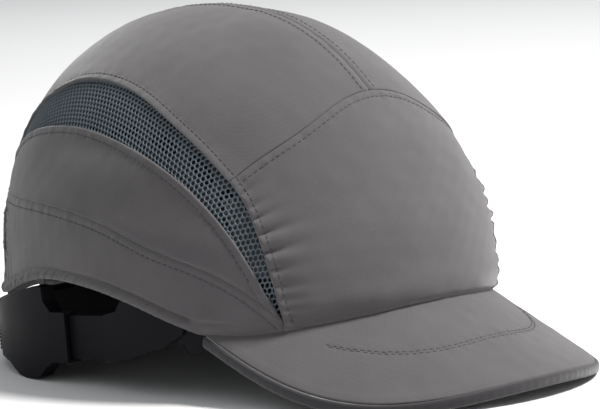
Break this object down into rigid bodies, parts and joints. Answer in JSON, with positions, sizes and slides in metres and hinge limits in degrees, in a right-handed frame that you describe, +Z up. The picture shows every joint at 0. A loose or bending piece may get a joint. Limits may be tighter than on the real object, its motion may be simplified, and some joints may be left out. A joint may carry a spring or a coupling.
{
  "type": "bump cap",
  "caption": "Peaked fabric bump cap over a hard inner shell, with mesh side vents, foam pads and a black nape adjuster worked by a knob.",
  "frame": {"origin": "centre of the bounding box on the surface the cap stands on, under the peak edge and the cradle lobes", "axes": "+Z up, the peak points to -Y, the wearer's right is -X; the cap is symmetric about X = 0 apart from the two racks, the label and the pinion"},
  "size_m": [0.184, 0.2916, 0.1494],
  "materials": {
    "grey_fabric": "plain-woven cotton and polyester, warm mid grey",
    "mesh_fabric": "blue-grey open mesh",
    "patch_fabric": "blank woven patch",
    "edge_fabric": "dark grey peak edge binding",
    "board": "polyethylene peak stiffener",
    "shell_plastic": "black injection-moulded shell",
    "foam": "closed-cell foam",
    "lining_fabric": "black towelling and tape",
    "label_fabric": "blank satin label",
    "steel": "plain",
    "rack_plastic": "black acetal",
    "knob_plastic": "black, satin",
    "adjuster_plastic": "black polyethylene, satin"
  },
  "bodies": {
    "cap": {"crown_pad": "foam", "front_pad": "foam", "front_panel": "grey_fabric", "headband": "foam", "inner_shell": "shell_plastic", "left_arm_keeper": "adjuster_plastic", "left_arm_rivet": "steel", "left_crown_panel": "grey_fabric", "left_lower_band": "grey_fabric", "left_mesh_panel": "mesh_fabric", "left_pad": "foam", "left_side_arm": "adjuster_plastic", "left_side_panel": "grey_fabric", "left_strap": "adjuster_plastic", "left_strap_rivet": "steel", "peak_binding": "edge_fabric", "peak_board": "board", "peak_top_cover": "grey_fabric", "peak_under_cover": "grey_fabric", "rear_binding": "lining_fabric", "rear_lining": "lining_fabric", "rear_pad": "foam", "rear_patch": "patch_fabric", "right_arm_keeper": "adjuster_plastic", "right_arm_rivet": "steel", "right_crown_panel": "grey_fabric", "right_lower_band": "grey_fabric", "right_mesh_panel": "mesh_fabric", "right_pad": "foam", "right_side_arm": "adjuster_plastic", "right_side_panel": "grey_fabric", "right_strap": "adjuster_plastic", "right_strap_rivet": "steel", "seam_tape": "lining_fabric", "size_label": "label_fabric", "sweatband": "lining_fabric"},
    "cradle": {"cradle": "adjuster_plastic", "cradle_cover": "adjuster_plastic", "nape_pad": "foam", "ratchet_base": "adjuster_plastic", "detent_ring": "rack_plastic"},
    "knob": {"knob": "knob_plastic", "knob_cap": "knob_plastic", "knob_screw": "steel", "pinion": "rack_plastic", "detent_spring": "steel"},
    "left_rack": {"left_rack": "rack_plastic"},
    "right_rack": {"right_rack": "rack_plastic"}
  },
  "joints": [
    {"name": "knob_turn", "type": "hinge", "parent": "cradle", "child": "knob", "pos_m": [0, 0.13026, 0.01326], "axis": [0, -0.9975, 0.0703], "range_deg": [0, 172.39]},
    {"name": "cradle_slide", "type": "slide", "parent": "cap", "child": "cradle", "axis": [0, -0.9975, 0.0703], "range_m": [0, 0.015]},
    {"name": "left_rack_slide", "type": "hinge", "parent": "cradle", "child": "left_rack", "pos_m": [0, 0.04288, 0.01942], "axis": [0, 0.0703, 0.9975], "range_deg": [0, 10.4]},
    {"name": "right_rack_slide", "type": "hinge", "parent": "cradle", "child": "right_rack", "pos_m": [0, 0.04288, 0.01942], "axis": [0, 0.0703, 0.9975], "range_deg": [-10.4, 0]}
  ],
  "couplings": [
    {"joint": "knob_turn", "follows": "cradle_slide", "rad_per_m": 200},
    {"joint": "left_rack_slide", "follows": "cradle_slide", "rad_per_m": 11.99},
    {"joint": "right_rack_slide", "follows": "cradle_slide", "rad_per_m": -11.99}
  ]
}
